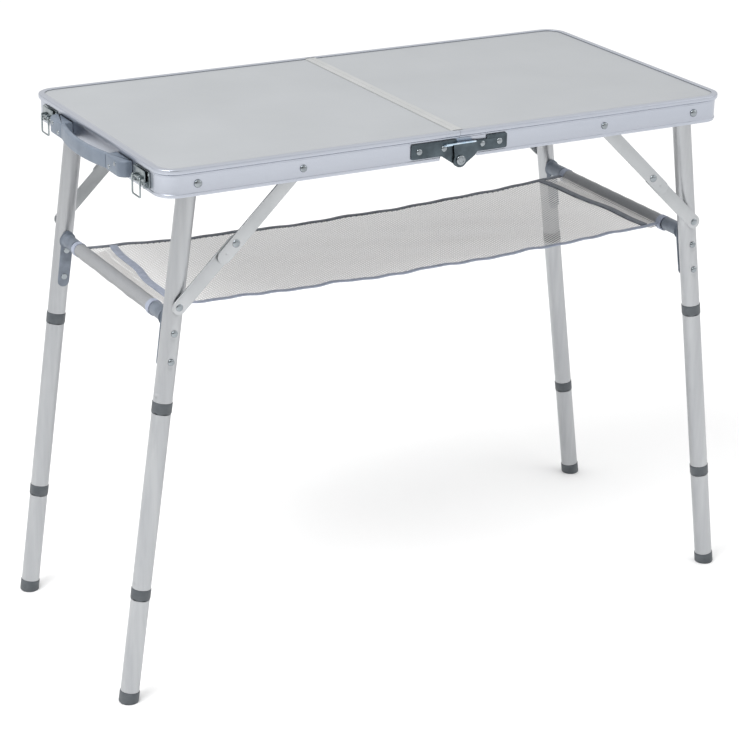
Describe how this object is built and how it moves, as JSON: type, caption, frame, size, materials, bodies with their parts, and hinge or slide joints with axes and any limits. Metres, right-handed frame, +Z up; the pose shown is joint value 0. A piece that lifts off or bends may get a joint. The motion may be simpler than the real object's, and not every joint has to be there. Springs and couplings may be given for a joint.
{
  "type": "folding camping table",
  "caption": "Suitcase-style folding table: two framed boards on a centre hinge, splayed plug-in tube legs with folding braces, a mesh shelf, a carry handle and draw latches.",
  "frame": {"origin": "centre of the table's footprint on the floor", "axes": "+X along the table's long side, away from the carry handle; +Y across it to the rear; +Z up"},
  "size_m": [0.9138, 0.4206, 0.695],
  "materials": {
    "laminate": "pale grey laminate on a thin board",
    "profile": "satin anodised extrusion",
    "tube": "satin drawn tube",
    "bar": "satin flat bar",
    "hinge_plate": "dark zinc-plated steel",
    "hinge_pin": "bright dome-headed pin",
    "leg_plastic": "dark grey moulded plastic",
    "handle_plastic": "blue-grey moulded plastic",
    "latch_chrome": "bright plated pressing",
    "rod": "bright drawn rod",
    "bracket": "grey moulded plastic",
    "mesh": "pale grey open polyester mesh with bound edges"
  },
  "bodies": {
    "left_top": {"left_frame": "profile", "left_board": "laminate", "hinge_plate_left_front": "hinge_plate", "hinge_plate_left_rear": "hinge_plate", "hinge_pin_front": "hinge_pin", "hinge_pin_rear": "hinge_pin", "handle_block_front": "handle_plastic", "handle_block_rear": "handle_plastic", "handle_grip": "handle_plastic", "latch_base_front": "latch_chrome", "latch_base_rear": "latch_chrome"},
    "right_top": {"right_frame": "profile", "right_board": "laminate", "hinge_plate_right_front": "hinge_plate", "hinge_plate_right_rear": "hinge_plate", "keeper_front": "latch_chrome", "keeper_rear": "latch_chrome"},
    "left_legs": {"upper_leg_left_front": "tube", "upper_leg_left_rear": "tube", "upper_collar_left_front": "leg_plastic", "upper_collar_left_rear": "leg_plastic", "rod_bracket_left_front": "bracket", "rod_bracket_left_rear": "bracket", "cross_rod_left": "rod", "mesh_shelf": "mesh"},
    "left_upper_braces": {"upper_brace_left_front": "bar", "upper_brace_left_rear": "bar"},
    "left_lower_braces": {"lower_brace_left_front": "bar", "lower_brace_left_rear": "bar"},
    "middle_left_front": {"middle_leg_left_front": "tube", "lower_collar_left_front": "leg_plastic"},
    "lower_left_front": {"lower_leg_left_front": "tube", "foot_left_front": "leg_plastic"},
    "middle_left_rear": {"middle_leg_left_rear": "tube", "lower_collar_left_rear": "leg_plastic"},
    "lower_left_rear": {"lower_leg_left_rear": "tube", "foot_left_rear": "leg_plastic"},
    "right_legs": {"upper_leg_right_front": "tube", "upper_leg_right_rear": "tube", "upper_collar_right_front": "leg_plastic", "upper_collar_right_rear": "leg_plastic", "rod_bracket_right_front": "bracket", "rod_bracket_right_rear": "bracket", "cross_rod_right": "rod"},
    "right_upper_braces": {"upper_brace_right_front": "bar", "upper_brace_right_rear": "bar"},
    "right_lower_braces": {"lower_brace_right_front": "bar", "lower_brace_right_rear": "bar"},
    "middle_right_front": {"middle_leg_right_front": "tube", "lower_collar_right_front": "leg_plastic"},
    "lower_right_front": {"lower_leg_right_front": "tube", "foot_right_front": "leg_plastic"},
    "middle_right_rear": {"middle_leg_right_rear": "tube", "lower_collar_right_rear": "leg_plastic"},
    "lower_right_rear": {"lower_leg_right_rear": "tube", "foot_right_rear": "leg_plastic"},
    "latch_lever_front": {"latch_lever_front": "latch_chrome"},
    "latch_loop_front": {"latch_loop_front": "latch_chrome"},
    "latch_lever_rear": {"latch_lever_rear": "latch_chrome"},
    "latch_loop_rear": {"latch_loop_rear": "latch_chrome"}
  },
  "joints": [
    {"name": "table_fold", "type": "hinge", "parent": "left_top", "child": "right_top", "pos_m": [0, 0, 0.659], "axis": [0, 1, 0], "range_deg": [0, 60], "deforming": ["mesh_shelf"]},
    {"name": "left_leg_fold", "type": "hinge", "parent": "left_top", "child": "left_legs", "pos_m": [-0.3516, 0, 0.675], "axis": [0, -1, 0], "range_deg": [0, 97.79], "deforming": ["mesh_shelf"]},
    {"name": "left_upper_brace_turn", "type": "hinge", "parent": "left_top", "child": "left_upper_braces", "pos_m": [-0.214, 0, 0.675], "axis": [0, -1, 0], "range_deg": [0, 136.36]},
    {"name": "left_lower_brace_turn", "type": "hinge", "parent": "left_legs", "child": "left_lower_braces", "pos_m": [-0.37266, 0, 0.52103], "axis": [0, 1, 0], "range_deg": [0, 142.43]},
    {"name": "middle_pull_left_front", "type": "slide", "parent": "left_legs", "child": "middle_left_front", "axis": [-0.1355, 0, -0.9908], "range_m": [0, 0.45]},
    {"name": "lower_pull_left_front", "type": "slide", "parent": "middle_left_front", "child": "lower_left_front", "axis": [-0.1355, 0, -0.9908], "range_m": [0, 0.045]},
    {"name": "middle_pull_left_rear", "type": "slide", "parent": "left_legs", "child": "middle_left_rear", "axis": [-0.1355, 0, -0.9908], "range_m": [0, 0.45]},
    {"name": "lower_pull_left_rear", "type": "slide", "parent": "middle_left_rear", "child": "lower_left_rear", "axis": [-0.1355, 0, -0.9908], "range_m": [0, 0.045]},
    {"name": "right_leg_fold", "type": "hinge", "parent": "right_top", "child": "right_legs", "pos_m": [0.3516, 0, 0.675], "axis": [0, 1, 0], "range_deg": [0, 97.79], "deforming": ["mesh_shelf"]},
    {"name": "right_upper_brace_turn", "type": "hinge", "parent": "right_top", "child": "right_upper_braces", "pos_m": [0.214, 0, 0.675], "axis": [0, 1, 0], "range_deg": [0, 136.36]},
    {"name": "right_lower_brace_turn", "type": "hinge", "parent": "right_legs", "child": "right_lower_braces", "pos_m": [0.37266, 0, 0.52103], "axis": [0, -1, 0], "range_deg": [0, 142.43]},
    {"name": "middle_pull_right_front", "type": "slide", "parent": "right_legs", "child": "middle_right_front", "axis": [0.1355, 0, -0.9908], "range_m": [0, 0.45]},
    {"name": "lower_pull_right_front", "type": "slide", "parent": "middle_right_front", "child": "lower_right_front", "axis": [0.1355, 0, -0.9908], "range_m": [0, 0.045]},
    {"name": "middle_pull_right_rear", "type": "slide", "parent": "right_legs", "child": "middle_right_rear", "axis": [0.1355, 0, -0.9908], "range_m": [0, 0.45]},
    {"name": "lower_pull_right_rear", "type": "slide", "parent": "middle_right_rear", "child": "lower_right_rear", "axis": [0.1355, 0, -0.9908], "range_m": [0, 0.045]},
    {"name": "latch_lever_front_open", "type": "hinge", "parent": "left_top", "child": "latch_lever_front", "pos_m": [-0.4015, -0.146, 0.6688], "axis": [0, -1, 0], "range_deg": [0, 110]},
    {"name": "latch_loop_front_swing", "type": "hinge", "parent": "latch_lever_front", "child": "latch_loop_front", "pos_m": [-0.4056, -0.146, 0.6758], "axis": [0, 1, 0], "range_deg": [0, 110]},
    {"name": "latch_lever_rear_open", "type": "hinge", "parent": "left_top", "child": "latch_lever_rear", "pos_m": [-0.4015, 0.146, 0.6688], "axis": [0, -1, 0], "range_deg": [0, 110]},
    {"name": "latch_loop_rear_swing", "type": "hinge", "parent": "latch_lever_rear", "child": "latch_loop_rear", "pos_m": [-0.4056, 0.146, 0.6758], "axis": [0, 1, 0], "range_deg": [0, 110]}
  ],
  "couplings": [
    {"joint": "left_upper_brace_turn", "follows": "left_leg_fold", "ratio": 1.3893},
    {"joint": "left_lower_brace_turn", "follows": "left_leg_fold", "ratio": 1.4514},
    {"joint": "right_upper_brace_turn", "follows": "right_leg_fold", "ratio": 1.3893},
    {"joint": "right_lower_brace_turn", "follows": "right_leg_fold", "ratio": 1.4514},
    {"joint": "latch_loop_front_swing", "follows": "latch_lever_front_open", "ratio": 1},
    {"joint": "latch_loop_rear_swing", "follows": "latch_lever_rear_open", "ratio": 1}
  ]
}
